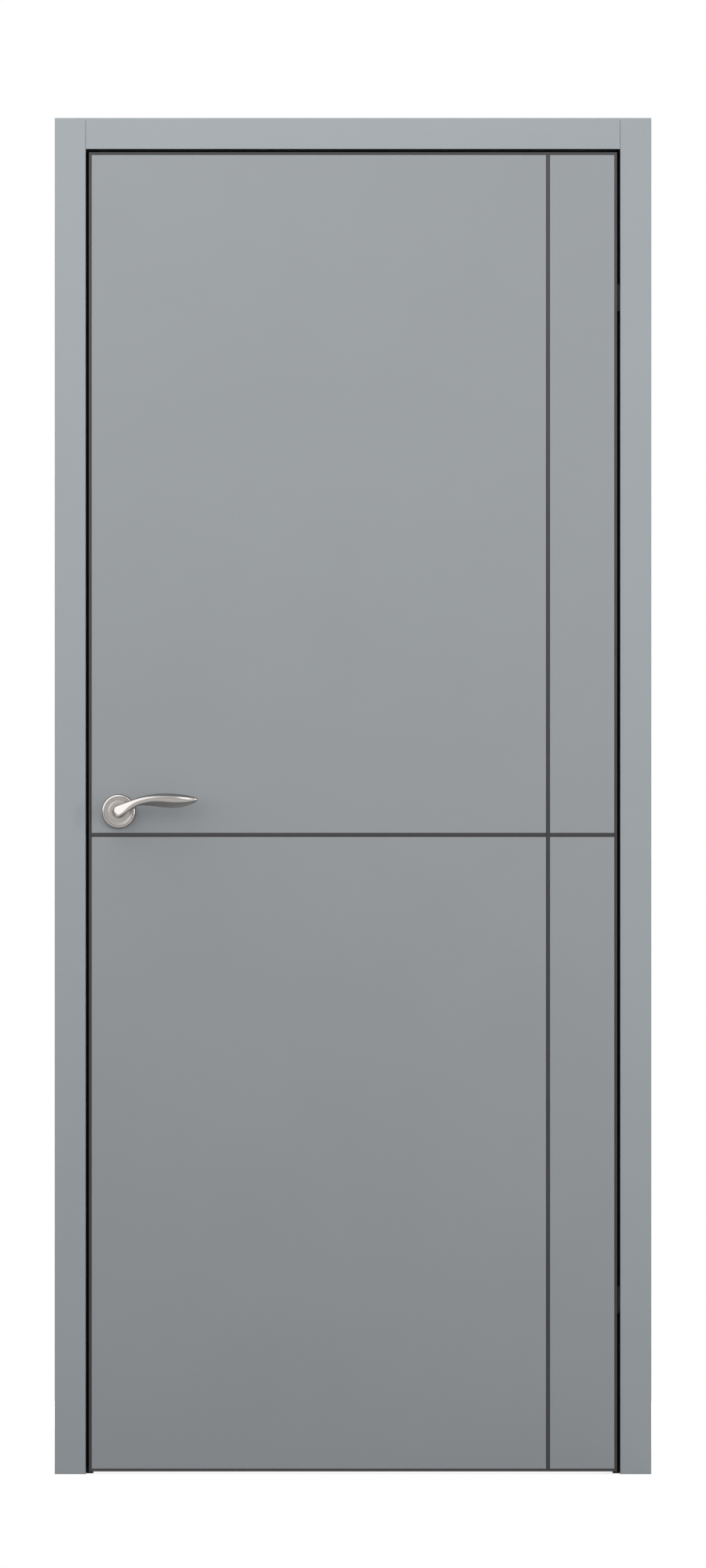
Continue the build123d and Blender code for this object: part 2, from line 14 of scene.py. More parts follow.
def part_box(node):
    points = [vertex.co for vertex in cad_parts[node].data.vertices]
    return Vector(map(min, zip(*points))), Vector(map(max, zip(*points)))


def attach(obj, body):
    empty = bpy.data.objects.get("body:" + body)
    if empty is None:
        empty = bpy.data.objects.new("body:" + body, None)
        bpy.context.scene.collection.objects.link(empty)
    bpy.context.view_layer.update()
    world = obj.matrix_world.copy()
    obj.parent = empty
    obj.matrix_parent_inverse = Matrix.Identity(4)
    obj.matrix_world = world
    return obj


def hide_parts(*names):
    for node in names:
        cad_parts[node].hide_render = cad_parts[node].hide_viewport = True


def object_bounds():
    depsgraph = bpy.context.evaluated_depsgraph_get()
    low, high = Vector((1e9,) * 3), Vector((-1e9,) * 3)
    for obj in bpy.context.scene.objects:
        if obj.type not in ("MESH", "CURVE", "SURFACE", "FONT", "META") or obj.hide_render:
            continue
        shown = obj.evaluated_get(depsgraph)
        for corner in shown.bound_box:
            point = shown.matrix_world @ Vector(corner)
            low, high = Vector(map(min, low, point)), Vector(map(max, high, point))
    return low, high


bl_info = {
    "name": "Interior Door",
    "version": (1, 0, 0),
    "blender": (4, 5, 0),
    "location": "View3D > Sidebar > Door",
    "description": "Finishes, lever set, fastenings and studio of a flush interior door",
    "category": "Object",
}

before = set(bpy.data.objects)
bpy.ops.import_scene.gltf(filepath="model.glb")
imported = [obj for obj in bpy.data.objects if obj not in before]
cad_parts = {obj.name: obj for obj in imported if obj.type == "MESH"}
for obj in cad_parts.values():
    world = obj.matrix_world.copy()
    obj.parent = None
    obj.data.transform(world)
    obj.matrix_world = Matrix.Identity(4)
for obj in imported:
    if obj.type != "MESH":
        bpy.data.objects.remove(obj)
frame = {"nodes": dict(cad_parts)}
CAD_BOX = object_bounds()

MM = 0.001

# Sockets of the Mix node for colours
MIX_FACTOR = 0
MIX_FIRST = 6
MIX_SECOND = 7
MIX_RESULT = 2

HINGES = ("upper", "lower")
SIDES = ("front", "back")
CASING_NODES = [f"{side}_casing_{part}" for side in SIDES for part in ("hinge", "latch", "head")]
JAMB_NODES = ["hinge_jamb", "latch_jamb", "head_jamb"]
PANEL_NODES = [
    f"{side}_panel_{row}_{column}"
    for side in SIDES
    for row in ("upper", "lower")
    for column in ("wide", "narrow")
]
UPRIGHT_PROFILES = ["edge_profile_latch", "edge_profile_hinge"]
UPRIGHT_PROFILES += [f"{side}_moulding_upright" for side in SIDES]
CROSS_PROFILES = ["edge_profile_top", "edge_profile_bottom"]
CROSS_PROFILES += [f"{side}_moulding_cross" for side in SIDES]
SEAL_NODES = ["seal_hinge", "seal_latch", "seal_head"]
HINGE_NODES = [
    f"{hinge}_hinge_{part}"
    for hinge in HINGES
    for part in ("jamb_cup", "leaf_cup", "outer_arms", "inner_arm")
]
PLATE_NODES = ["latch_plate", "strike_plate"]

WALL_SKIN = 0.05 * MM  # only the flat side that touches the wall lies within this
SHARP_ANGLE = math.radians(40)  # edges that fold more than this stay sharp
OUT = Vector((0.0, 0.0, 1.0))  # out of the leaf or the plate, in a piece's own drawing

# Two sections of the lever, in its grip and at its root, from the upper edge over the front to the lower
# edge and round the back. Each point is a share of the half height and of the half depth there.
GRIP_SECTION = (
    (1.00, -0.45),
    (0.84, 0.24),
    (0.58, 1.00),
    (0.30, 1.03),
    (0.08, 0.97),
    (-0.14, 0.72),
    (-0.42, 0.10),
    (-0.70, -0.50),
    (-1.00, -1.08),
    (-0.86, -1.14),
    (-0.46, -1.14),
    (0.02, -1.12),
    (0.52, -1.02),
    (0.88, -0.82),
)
ROOT_SECTION = (
    (1.00, 0.02),
    (0.96, 0.40),
    (0.80, 0.60),
    (0.40, 0.72),
    (0.00, 0.84),
    (-0.42, 0.97),
    (-0.86, 1.09),
    (-1.02, 0.60),
    (-1.00, 0.00),
    (-0.88, -0.54),
    (-0.50, -0.90),
    (0.00, -1.03),
    (0.52, -0.90),
    (0.88, -0.50),
)
CREST = 2  # the point of both sections that lies on the crest
CREST_CREASE = 0.6  # how sharp the crest stays in the grip

# The bend in millimetres: its outer corner along the lever and off the panel, then its inner corner,
# and last how round its section still is
BEND_ROWS = (
    (-9.0, 43.0, 9.1, 34.0, 1.0),
    (-7.9, 50.2, 9.6, 35.2, 0.5),
    (-3.2, 52.0, 10.2, 36.6, 0.1),
)

# Where the bend passes into the grip: shares of the neck's radius, of a right angle and of the grip's
# own section
JOIN_ALONG = 1.15
JOIN_HALF_HEIGHT = 0.86
JOIN_HALF_DEPTH = 0.76
JOIN_LEAN = 0.9
JOIN_SHARE = 0.12

# The grip in millimetres: along it from the spindle, upper edge, lower edge and half depth,
# then how far its front leans up
GRIP_ROWS = (
    (27.0, 20.2, 8.3, 6.0, 0.0),
    (41.0, 24.5, 8.6, 6.6, 0.0),
    (57.0, 27.3, 6.8, 7.0, 0.0),
    (74.0, 27.9, 4.2, 7.0, 0.0),
    (91.0, 26.8, 4.4, 6.6, 0.1),
    (105.0, 24.6, 7.7, 5.5, 0.4),
    (114.0, 22.2, 11.7, 3.6, 0.5),
    (119.0, 20.1, 15.1, 1.7, 0.5),
)
FIRST_SHARE = 0.4  # of the grip's own section in the grip's first row
SHARE_STEP = 0.35  # more of it in each next row
SET_BACK_START = 74.0 * MM  # along the grip: from here it leans back towards the leaf
LEVER_ROUNDING = 3  # levels of subdivision

FINE_ROUND = 0.15 * MM  # rounding of the rose's fine edges
FINE_SEGMENTS = 5
ROSE_STEPS = 96
MERGE_DISTANCE = 0.001 * MM

# A screw's head, in shares of its radius
SOCKET_RADIUS = 0.46
SOCKET_DEPTH = 0.35
CONE_FOOT = 0.55
CONE_DEPTH = 0.5
HEAD_ROUND = 0.1
HEAD_SIDES = 32
SOCKET_SIDES = 6
EDGE_SEGMENTS = 3  # in the rounding of a screw's head and of the bolt

MAGNET_SLOPE = 0.2 * MM  # width of the slope round the magnet
MAGNET_DEPTH = 0.3 * MM  # the magnet lies this far below the bolt's face

# Lamps in metres: where each hangs, and its width and height
LAMPS = {
    "key": ((-1.9, -1.3, 2.8), (4.6, 4.2)),
    "front": ((0.56, -2.77, 2.29), (1.3, 1.1)),
    "side": ((1.7, -2.0, 1.3), (0.3, 1.5)),
    "rear": ((1.0, 3.0, 3.0), (2.8, 2.2)),
}
LAMP_AIM = 1.5  # height of the point on the door that every lamp faces
WHITE = (1.0, 1.0, 1.0, 1.0)
WHITE_FROM = 0.3  # share of the way to the floor's edge where its own white starts to grow
WHITE_TO = 0.9  # and where it is full
SENSOR_WIDTH = 36.0  # of the camera, in millimetres


def linear(hex_colour):
    """An sRGB hex colour as linear red, green and blue."""
    channels = [int(hex_colour[place:place + 2], 16) / 255 for place in (1, 3, 5)]
    return tuple(c / 12.92 if c <= 0.04045 else ((c + 0.055) / 1.055) ** 2.4 for c in channels)


def colour_property(label, description, hex_colour):
    """A colour that a user would change."""
    return bpy.props.FloatVectorProperty(
        name=label,
        description=description,
        subtype="COLOR",
        size=3,
        min=0.0,
        max=1.0,
        default=linear(hex_colour),
    )


def length_property(label, description, default):
    """A length that a user would change."""
    return bpy.props.FloatProperty(
        name=label, description=description, default=default, min=0.0, unit="LENGTH"
    )


def power_property(label, description, default):
    """The power of a lamp."""
    return bpy.props.FloatProperty(
        name=label, description=description, default=default, min=0.0, unit="POWER"
    )


class DoorColours(bpy.types.PropertyGroup):
    """Colours of the door's finishes."""

    leaf: colour_property("Leaf", "Matt enamel on the panels of the leaf", "#93979A")
    # The frame's enamel is the leaf's grey with a bluer tint of its own. It is also drawn lighter than the
    # leaf's, as painted light for the brighter light that falls on the casings.
    frame: colour_property("Frame", "Matt enamel on the jambs and the casings", "#9AA0A4")
    sealed_board: colour_property("Sealed board", "Thin sealer on the sides that face the wall", "#978C7E")
    core_board: colour_property("Core board", "Raw fibreboard inside the leaf", "#A3835C")
    aluminium: colour_property("Aluminium", "Black anodised profiles and mouldings", "#444344")
    nickel: colour_property("Nickel", "Satin nickel of the lever set", "#A29E9B")
    zinc: colour_property("Zinc", "Satin plated zinc of the latch and strike plates", "#A6A8AA")
    hinge: colour_property("Hinge", "Black coated zinc of the hinges", "#39393A")
    steel: colour_property("Steel", "Bright steel of the screws, the bolt and the spindle", "#B9BBBE")
    rubber: colour_property("Rubber", "Extruded rubber of the seals", "#1A1A1B")
    magnet: colour_property("Magnet", "Dark ferrite in the face of the latch bolt", "#2C2B2B")


class LeverSizes(bpy.types.PropertyGroup):
    """Sizes of the lever set that a user would change."""

    neck_diameter: length_property("Neck", "Diameter of the lever's neck", 18.0 * MM)
    neck_start: length_property("Neck start", "Start of the neck off the face of the panel", 1.0 * MM)
    neck_reach: length_property("Neck end", "End of the straight neck off the face of the panel", 31.3 * MM)
    grip_reach: length_property("Reach", "Middle of the grip off the face of the panel", 46.3 * MM)
    tip_set_back: length_property("Tip", "Set back of the tip towards the leaf", 3.0 * MM)
    grip_length: length_property("Length", "Length of the grip from the spindle", 120.6 * MM)
    tip_height: length_property("Tip height", "Height of the tip over the spindle", 17.7 * MM)
    rose_diameter: length_property("Rose", "Diameter of the rose", 52.5 * MM)
    rose_thickness: length_property("Rose thickness", "Height of the rim off the panel", 9.0 * MM)
    rim_width: length_property("Rim", "Width of the rose's rounded rim", 4.5 * MM)
    wall_draft: length_property("Draft", "Slope of the rose's wall from the panel to the rim", 1.3 * MM)
    dish_depth: length_property("Dish", "Depth of the face inside the rim", 0.5 * MM)
    ring_diameter: length_property("Ring", "Diameter of the fine ring in the rose", 34.0 * MM)
    ring_width: length_property("Ring width", "Width of the fine ring", 0.9 * MM)
    neck_room: length_property("Neck room", "Room round the neck in the rose", 0.15 * MM)


class FasteningSizes(bpy.types.PropertyGroup):
    """Sizes of the screws and of the latch bolt."""

    hinge_head: length_property("Hinge screw", "Diameter of a hinge screw's head", 4.8 * MM)
    hinge_spacing: length_property("Hinge spacing", "Between the two screws of a hinge cup", 92.0 * MM)
    hinge_plate: length_property("Hinge plate", "Width of a hinge cup's plate", 20.0 * MM)
    hinge_sunk: length_property("Sunk", "A hinge screw's head lies this far below the plate", 0.3 * MM)
    plate_head: length_property("Plate screw", "Diameter of a plate screw's head", 6.4 * MM)
    plate_edge: length_property("Plate edge", "Plate screw from the end of its plate", 8.0 * MM)
    proud: length_property("Proud", "A plate screw stands this far off its plate", 0.25 * MM)
    set_screw: length_property("Set screw", "Diameter of the set screw under the neck", 4.0 * MM)
    set_screw_reach: length_property("Set screw place", "Set screw off the face of the panel", 15.0 * MM)
    bolt_round: length_property("Bolt edges", "Rounding of the latch bolt", 1.0 * MM)
    magnet_margin: length_property("Magnet margin", "Metal round the magnet of the bolt", 1.8 * MM)


class StageSettings(bpy.types.PropertyGroup):
    """Camera, lamps and floor."""

    camera_distance: length_property("Camera", "Camera in front of the casings", 30.0)
    picture_height: length_property("Picture", "Height of the picture at the casings", 2.377)
    picture_middle: length_property("Middle", "Height of the picture's middle over the floor", 1.0463)
    floor_size: length_property("Floor", "Side of the square floor", 7.0)
    key_power: power_property("Key", "Large soft lamp high above the front, on the latch side", 106.0)
    front_power: power_property("Front", "Smaller soft lamp in front, for the tip of the lever", 11.0)
    side_power: power_property("Side", "Narrow soft lamp on the hinge side", 26.0)
    rear_power: power_property("Rear", "Soft lamp behind the door", 115.0)
    ambient: bpy.props.FloatProperty(
        name="Ambient", description="Level of the light from all round", default=0.20, min=0.0
    )
    floor_glow: bpy.props.FloatProperty(
        name="Floor",
        description="White that the floor shows of itself at the door",
        default=0.80,
        min=0.0,
        max=1.0,
    )
    floor_colour: colour_property("Floor colour", "Painted floor", "#989898")


class DoorSettings(bpy.types.PropertyGroup):
    """All settings of the door."""

    colours: bpy.props.PointerProperty(type=DoorColours)
    lever: bpy.props.PointerProperty(type=LeverSizes)
    fastenings: bpy.props.PointerProperty(type=FasteningSizes)
    stage: bpy.props.PointerProperty(type=StageSettings)


# Materials


def add_node(tree, kind, values=None, **settings):
    """Adds a node: settings go on the node, values on its inputs, and an output given there is linked."""
    node = tree.nodes.new(kind)
    for name, value in settings.items():
        setattr(node, name, value)
    for key, value in (values or {}).items():
        if isinstance(value, bpy.types.NodeSocket):
            tree.links.new(value, node.inputs[key])
        else:
            node.inputs[key].default_value = value
    return node


def opaque(colour, level=1.0):
    """A colour with its alpha, lighter or darker by level."""
    return (*(min(1.0, channel * level) for channel in colour), 1.0)


def start_material(name):
    """A new material, its node tree and the place on the piece that its patterns read."""
    material = bpy.data.materials.new(name)
    material.use_nodes = True
    tree = material.node_tree
    tree.nodes.clear()
    place = add_node(tree, "ShaderNodeTexCoord").outputs["Object"]
    return material, tree, place


def mottled(tree, place, size, colour, detail, darkest, lightest):
    """A cloudy pattern of one size, and a colour that it makes darker and lighter."""
    noise = add_node(tree, "ShaderNodeTexNoise", {"Vector": place, "Scale": 1 / size, "Detail": detail})
    pattern = noise.outputs["Fac"]
    tint = add_node(
        tree,
        "ShaderNodeMix",
        {
            MIX_FACTOR: pattern,
            MIX_FIRST: opaque(colour, darkest),
            MIX_SECOND: opaque(colour, lightest),
        },
        data_type="RGBA",
    )
    return pattern, tint.outputs[MIX_RESULT]


def end_material(tree, values):
    """Closes a node tree with its shader."""
    shader = add_node(tree, "ShaderNodeBsdfPrincipled", values)
    add_node(tree, "ShaderNodeOutputMaterial", {"Surface": shader.outputs["BSDF"]})


def end_metal(tree, pattern, tint, smoothest, roughest, strength, depth):
    """Closes the node tree of a metal whose pattern shows in its shine and its surface."""
    roughness = add_node(
        tree, "ShaderNodeMapRange", {"Value": pattern, "To Min": smoothest, "To Max": roughest}
    )
    bump = add_node(
        tree, "ShaderNodeBump", {"Height": pattern, "Strength": strength, "Distance": depth}
    )
    end_material(
        tree,
        {
            "Base Color": tint,
            "Metallic": 1.0,
            "Roughness": roughness.outputs["Result"],
            "Normal": bump.outputs["Normal"],
        },
    )


def matt_enamel(name, colour, sealed_colour=None, wall_side=None):
    """Sprayed matt enamel on fibreboard, with a thin sealer on the sides that face the wall."""
    # A soft even grey with no sharp reflections, faint clouds from the spray and a fine orange peel.
    material, tree, place = start_material(name)
    cloud_size = 140 * MM
    # Real orange peel is about 1 mm from crest to crest: drawn coarser, so that it shows at all.
    peel_size = 2.5 * MM
    clouds, base = mottled(tree, place, cloud_size, colour, detail=3.0, darkest=0.97, lightest=1.03)
    peel = add_node(tree, "ShaderNodeTexNoise", {"Vector": place, "Scale": 1 / peel_size, "Detail": 1.0})
    if wall_side:
        base = sealed_sides(tree, place, base, sealed_colour, wall_side)
    roughness = add_node(tree, "ShaderNodeMapRange", {"Value": clouds, "To Min": 0.54, "To Max": 0.62})
    bump = add_node(
        tree,
        "ShaderNodeBump",
        {"Height": peel.outputs["Fac"], "Strength": 0.12, "Distance": 0.05 * MM},
    )
    end_material(
        tree,
        {
            "Base Color": base,
            "Roughness": roughness.outputs["Result"],
            "Specular IOR Level": 0.3,
            "Normal": bump.outputs["Normal"],
        },
    )
    return material


def sealed_sides(tree, place, enamel, sealed_colour, wall_side):
    """Enamel where it shows, and sealed board with its fibres on the side that a mask picks."""
    fibre_size = 3 * MM
    _, board = mottled(tree, place, fibre_size, sealed_colour, detail=6.0, darkest=0.8, lightest=1.2)
    whole = add_node(
        tree,
        "ShaderNodeMix",
        {MIX_FACTOR: wall_side(tree, place), MIX_FIRST: enamel, MIX_SECOND: board},
        data_type="RGBA",
    )
    return whole.outputs[MIX_RESULT]


def jamb_wall_side(tree, place):
    """1 on the faces of the jambs that lie against the wall, 0 elsewhere."""
    hinge_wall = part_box("hinge_jamb")[1].x
    latch_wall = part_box("latch_jamb")[0].x
    top_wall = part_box("head_jamb")[1].z
    axes = add_node(tree, "ShaderNodeSeparateXYZ", {"Vector": place}).outputs
    on_hinge = add_node(
        tree, "ShaderNodeMath", {0: axes["X"], 1: hinge_wall - WALL_SKIN}, operation="GREATER_THAN"
    )
    on_latch = add_node(
        tree, "ShaderNodeMath", {0: axes["X"], 1: latch_wall + WALL_SKIN}, operation="LESS_THAN"
    )
    on_top = add_node(
        tree, "ShaderNodeMath", {0: axes["Z"], 1: top_wall - WALL_SKIN}, operation="GREATER_THAN"
    )
    uprights = add_node(
        tree, "ShaderNodeMath", {0: on_hinge.outputs[0], 1: on_latch.outputs[0]}, operation="MAXIMUM"
    )
    every = add_node(
        tree, "ShaderNodeMath", {0: uprights.outputs[0], 1: on_top.outputs[0]}, operation="MAXIMUM"
    )
    return every.outputs[0]


def casing_wall_side(tree, place):
    """1 on the faces of the casings that lie against the wall, 0 elsewhere."""
    wall_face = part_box("back_casing_head")[0].y
    axes = add_node(tree, "ShaderNodeSeparateXYZ", {"Vector": place}).outputs
    depth = add_node(tree, "ShaderNodeMath", {0: axes["Y"]}, operation="ABSOLUTE")
    near = add_node(
        tree, "ShaderNodeMath", {0: depth.outputs[0], 1: wall_face + WALL_SKIN}, operation="LESS_THAN"
    )
    return near.outputs[0]


def raw_fibreboard(colour):
    """Raw medium density fibreboard, cut with a saw."""
    # A dry flat brown of packed fibres, with no shine.
    material, tree, place = start_material("raw_fibreboard")
    fibre_size = 2 * MM
    fibres, tint = mottled(tree, place, fibre_size, colour, detail=8.0, darkest=0.75, lightest=1.25)
    bump = add_node(tree, "ShaderNodeBump", {"Height": fibres, "Strength": 0.4, "Distance": 0.2 * MM})
    end_material(tree, {"Base Color": tint, "Roughness": 0.9, "Normal": bump.outputs["Normal"]})
    return material


def black_anodised_aluminium(name, colour, lines_per_metre):
    """Extruded aluminium, brushed along its length and anodised black."""
    # A dark metal that shows one soft light line along each lip and rib, broken by fine brush lines.
    material, tree, place = start_material(name)
    mapped = add_node(tree, "ShaderNodeMapping", {"Vector": place, "Scale": lines_per_metre})
    line_size = 1.0  # in the stretched space
    brushing, tint = mottled(
        tree, mapped.outputs["Vector"], line_size, colour, detail=4.0, darkest=0.82, lightest=1.18
    )
    end_metal(tree, brushing, tint, smoothest=0.30, roughest=0.46, strength=0.15, depth=0.05 * MM)
    return material


def grained_metal(name, colour, grain_size, smoothest, roughest):
    """A bare or plated metal with a fine even grain."""
    material, tree, place = start_material(name)
    grain, tint = mottled(tree, place, grain_size, colour, detail=3.0, darkest=0.94, lightest=1.06)
    end_metal(tree, grain, tint, smoothest, roughest, strength=0.08, depth=0.03 * MM)
    return material


def satin_nickel(colour):
    """Cast lever set, brushed and plated with nickel."""
    # A warm silver with wide soft highlights. Its real grain of about 0.2 mm is drawn coarser, to show.
    return grained_metal("satin_nickel", colour, grain_size=0.8 * MM, smoothest=0.16, roughest=0.24)


def plated_zinc(colour):
    """Pressed plates with a satin plating."""
    # A cooler and duller silver than the lever set.
    return grained_metal("satin_plated_zinc", colour, grain_size=1.2 * MM, smoothest=0.30, roughest=0.42)


def black_coated_zinc(colour):
    """Die cast hinges with a black coating, to match the profiles."""
    # A dark satin that keeps the gap beside the leaf black.
    return grained_metal("black_coated_zinc", colour, grain_size=1.2 * MM, smoothest=0.38, roughest=0.5)


def bright_steel(colour):
    """Turned steel of screws, bolt and spindle."""
    # Small sharp glints.
    return grained_metal("bright_steel", colour, grain_size=0.6 * MM, smoothest=0.16, roughest=0.26)


def seal_rubber(colour):
    """Extruded black rubber."""
    # A dull black with a faint bloom, so that the gap round the leaf stays dark.
    material, tree, place = start_material("seal_rubber")
    bloom_size = 18 * MM
    bloom, tint = mottled(tree, place, bloom_size, colour, detail=5.0, darkest=0.8, lightest=1.3)
    roughness = add_node(tree, "ShaderNodeMapRange", {"Value": bloom, "To Min": 0.6, "To Max": 0.8})
    end_material(
        tree,
        {"Base Color": tint, "Roughness": roughness.outputs["Result"], "Specular IOR Level": 0.3},
    )
    return material


def ferrite(colour):
    """Pressed ferrite magnet."""
    # A dark grey with a mineral sparkle.
    material, tree, place = start_material("pressed_ferrite")
    grit_size = 0.5 * MM
    _, tint = mottled(tree, place, grit_size, colour, detail=2.0, darkest=0.6, lightest=1.5)
    end_material(tree, {"Base Color": tint, "Roughness": 0.5})
    return material


def seen_rays(tree):
    """1 for the rays that show surroundings: from the camera, off shiny surfaces and through clear ones."""
    path = add_node(tree, "ShaderNodeLightPath").outputs
    direct = add_node(
        tree, "ShaderNodeMath", {0: path["Is Camera Ray"], 1: path["Is Glossy Ray"]}, operation="MAXIMUM"
    )
    every = add_node(
        tree,
        "ShaderNodeMath",
        {0: direct.outputs[0], 1: path["Is Transmission Ray"]},
        operation="MAXIMUM",
    )
    return every.outputs[0]


def finish_nodes(names, material):
    """Gives one finish to pieces that keep their own shape."""
    for name in names:
        piece = frame["nodes"][name]
        if not piece.material_slots:
            piece.data.materials.append(material)
        for slot in piece.material_slots:
            slot.material = material


# Shapes


def new_piece(name, shape, materials, body):
    """Closes a bmesh as a smooth object that rides on a body."""
    bmesh.ops.recalc_face_normals(shape, faces=shape.faces)
    for face in shape.faces:
        face.smooth = True
    mesh = bpy.data.meshes.new(name)
    shape.to_mesh(mesh)
    shape.free()
    mesh.set_sharp_from_angle(angle=SHARP_ANGLE)
    for material in materials:
        mesh.materials.append(material)
    piece = bpy.data.objects.new(name, mesh)
    bpy.context.scene.collection.objects.link(piece)
    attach(piece, body)
    return piece


def soften(shape, parts, offset, affect, segments):
    """Rounds edges or corners of a bmesh."""
    bmesh.ops.bevel(
        shape,
        geom=parts,
        offset=offset,
        offset_type="OFFSET",
        affect=affect,
        segments=segments,
        profile=0.5,
        material=-1,
    )


def onto_face(side):
    """Takes a shape drawn with Y up and Z out of the leaf to the spindle on one face of the leaf."""
    low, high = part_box(f"{side}_rose")
    middle = (low + high) / 2
    turn = Matrix.Rotation(math.pi / 2, 4, "X")
    if side == "front":
        return Matrix.Translation((middle.x, high.y, middle.z)) @ turn
    flip = Matrix.Scale(-1, 4, (0, 1, 0))
    return Matrix.Translation((middle.x, low.y, middle.z)) @ flip @ turn


class Station(NamedTuple):
    """One section of a lever: where it stands and what shape it has."""

    middle: Vector
    heading: float  # climb of the lever there, seen from the front
    lean: float  # from 0 in the neck to a right angle in the grip
    half_height: float
    half_depth: float
    roundness: float = 0.0
    share: float = 0.0  # of the grip's own section
    front_lean: float = 0.0  # how far the front leans up


def lever_stations(sizes):
    """The sections of a lever from its neck to its last row before the tip."""
    radius = sizes.neck_diameter / 2
    right_angle = math.pi / 2
    waist_along, waist_upper, waist_lower = (value * MM for value in GRIP_ROWS[0][:3])
    heading = math.atan2((waist_upper + waist_lower) / 2, waist_along)
    ahead = Vector((math.cos(heading), math.sin(heading), 0.0))
    stations = []
    for reach in (sizes.neck_start, 0.5 * sizes.neck_reach, sizes.neck_reach):
        stations.append(Station(OUT * reach, heading, 0.0, radius, radius, roundness=1.0))
    for *corners, roundness in BEND_ROWS:
        outer_along, outer_reach, inner_along, inner_reach = (value * MM for value in corners)
        outer = ahead * outer_along + OUT * outer_reach
        inner = ahead * inner_along + OUT * inner_reach
        lean = math.atan2(outer_reach - inner_reach, inner_along - outer_along)
        half_depth = (outer - inner).length / 2
        stations.append(Station((outer + inner) / 2, heading, lean, radius, half_depth, roundness))
    join = Station(
        OUT * sizes.grip_reach + ahead * JOIN_ALONG * radius,
        heading,
        JOIN_LEAN * right_angle,
        JOIN_HALF_HEIGHT * radius,
        JOIN_HALF_DEPTH * radius,
        share=JOIN_SHARE,
    )
    stations.append(join)
    set_back_length = sizes.grip_length - SET_BACK_START
    for number, (*edges, front_lean) in enumerate(GRIP_ROWS):
        along, upper, lower, half_depth = (value * MM for value in edges)
        back = sizes.tip_set_back * max(0.0, (along - SET_BACK_START) / set_back_length) ** 2
        middle = Vector((along, (upper + lower) / 2, sizes.grip_reach - back))
        # The first row stands halfway between the climb from the root and the upright rows of the grip.
        turn = heading / 2 if number == 0 else 0.0
        half_height = (upper - lower) / 2 * math.cos(turn)
        share = min(1.0, FIRST_SHARE + SHARE_STEP * number)
        stations.append(Station(middle, turn, right_angle, half_height, half_depth, 0.0, share, front_lean))
    return stations


def place_ring(ring, station):
    """Moves a ring of vertices to one section of the lever."""
    up = Vector((-math.sin(station.heading), math.cos(station.heading), 0.0))
    ahead = Vector((math.cos(station.heading), math.sin(station.heading), 0.0))
    outward = OUT * math.sin(station.lean) - ahead * math.cos(station.lean)
    for vertex, root, grip in zip(ring, ROOT_SECTION, GRIP_SECTION):
        shape = Vector(root).lerp(Vector(root).normalized(), station.roundness)
        shape = shape.lerp(Vector(grip), station.share)
        shape.y -= station.front_lean * shape.x
        rise = up * shape.x * station.half_height
        bulge = outward * shape.y * station.half_depth
        vertex.co = station.middle + rise + bulge


def extrude_ring(shape, ring):
    """Extrudes a closed ring of vertices and gives the new ring in the same order."""
    edges = [shape.edges.get((one, two)) for one, two in zip(ring, ring[1:] + ring[:1])]
    made = bmesh.ops.extrude_edge_only(shape, edges=edges)["geom"]
    fresh = {part for part in made if isinstance(part, bmesh.types.BMVert)}
    follow = {}
    for vertex in ring:
        for edge in vertex.link_edges:
            if edge.other_vert(vertex) in fresh:
                follow[vertex] = edge.other_vert(vertex)
    return [follow[vertex] for vertex in ring]


def lever_shape(sizes):
    """A lever as one closed mesh of rings, drawn with Y up and Z out of the leaf."""
    shape = bmesh.new()
    ring = bmesh.ops.create_circle(shape, segments=len(GRIP_SECTION), radius=1.0)["verts"]
    first, *others = lever_stations(sizes)
    place_ring(ring, first)
    bmesh.ops.contextual_create(shape, geom=ring)
    crease = shape.edges.layers.float.new("crease_edge")
    for station in others:
        before = ring
        ring = extrude_ring(shape, before)
        place_ring(ring, station)
        crest_edge = shape.edges.get((before[CREST], ring[CREST]))
        crest_edge[crease] = CREST_CREASE * station.share
    tip = Vector((sizes.grip_length, sizes.tip_height, sizes.grip_reach - sizes.tip_set_back))
    ring = extrude_ring(shape, ring)
    for vertex in ring:
        vertex.co = tip
    bmesh.ops.pointmerge(shape, verts=ring, merge_co=tip)
    return shape


def rose_shape(sizes):
    """A round rose spun from its section: bore, dished face with a fine ring, and a rounded rim."""
    bore = sizes.neck_diameter / 2 + sizes.neck_room
    ring = sizes.ring_diameter / 2
    edge = sizes.rose_diameter / 2
    dish = edge - sizes.rim_width
    face = sizes.rose_thickness - sizes.dish_depth
    groove = face - sizes.ring_width / 2
    rim_round = sizes.rim_width / 2
    crown = edge - sizes.wall_draft
    # Each corner is a radius, a height off the panel and its rounding
    section = (
        (bore, 0.0, 0.0),
        (bore, face, FINE_ROUND),
        (ring - sizes.ring_width, face, FINE_ROUND),
        (ring - sizes.ring_width, groove, 0.0),
        (ring, groove, 0.0),
        (ring, face, FINE_ROUND),
        (dish, face, FINE_ROUND),
        (dish + sizes.dish_depth, sizes.rose_thickness, 2 * FINE_ROUND),
        (crown, sizes.rose_thickness, rim_round),
        (edge, 0.0, 0.0),
    )
    shape = bmesh.new()
    corners = [shape.verts.new((radius, 0.0, height)) for radius, height, _ in section]
    for one, two in zip(corners, corners[1:]):
        shape.edges.new((one, two))
    for corner, (_, _, rounding) in zip(corners, section):
        if rounding:
            soften(shape, [corner], rounding, "VERTICES", FINE_SEGMENTS)
    bmesh.ops.spin(
        shape,
        geom=shape.verts[:] + shape.edges[:],
        cent=(0.0, 0.0, 0.0),
        axis=OUT,
        angle=2 * math.pi,
        steps=ROSE_STEPS,
        use_merge=True,
    )
    bmesh.ops.remove_doubles(shape, verts=shape.verts, dist=MERGE_DISTANCE)
    rims = [edge for edge in shape.edges if edge.is_boundary]
    bmesh.ops.bridge_loops(shape, edges=rims)
    return shape


def ring_order(ring):
    """The vertices of a new circle in their order round it."""
    return sorted(ring, key=lambda vertex: math.atan2(vertex.co.y, vertex.co.x))


